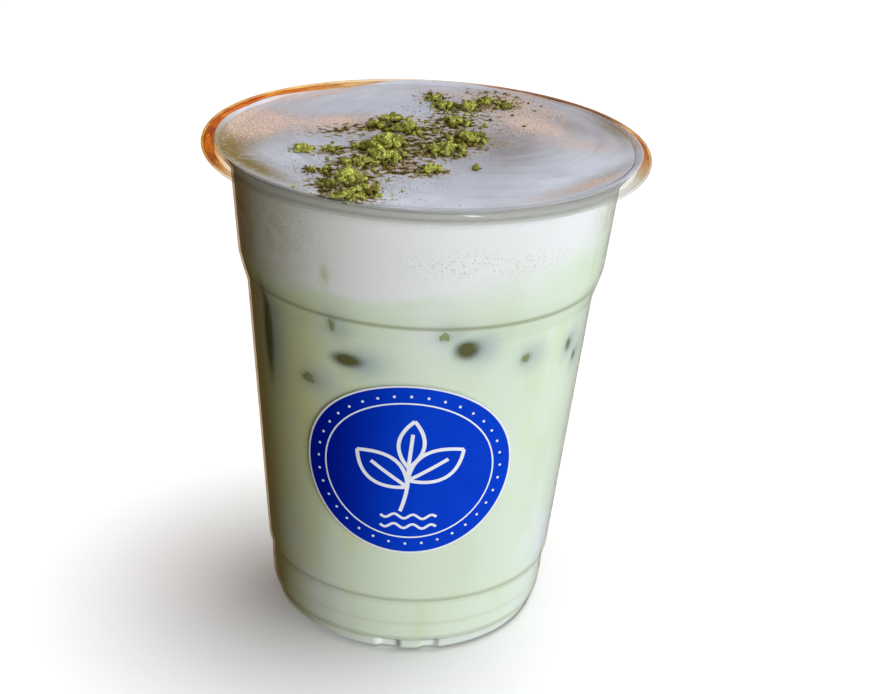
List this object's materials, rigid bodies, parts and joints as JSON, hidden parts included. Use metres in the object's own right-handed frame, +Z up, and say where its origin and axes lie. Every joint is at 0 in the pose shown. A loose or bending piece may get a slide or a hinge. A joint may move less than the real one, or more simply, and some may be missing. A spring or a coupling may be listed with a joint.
{
  "type": "iced matcha latte in a clear cup",
  "caption": "Clear tapered takeaway cup with a rolled rim and notched foot, filled with green milk tea, ice and a thick milk foam, with a round blue label.",
  "frame": {"origin": "middle of the foot ring, on the surface that the cup stands on", "axes": "+Z up along the cup's axis; the front with the label faces -Y; +X is to the right as seen from the front"},
  "size_m": [0.095, 0.095, 0.1103],
  "materials": {
    "clear_plastic": "clear thermoformed PET, glossy",
    "latte": "opaque pale green milk drink",
    "milk_foam": "soft white milk foam with fine bubbles and green tea powder",
    "label_paper": "printed satin paper, royal blue with a white edge"
  },
  "bodies": {
    "root": {"cup": "clear_plastic", "latte": "latte", "foam": "milk_foam", "label": "label_paper"}
  },
  "joints": []
}
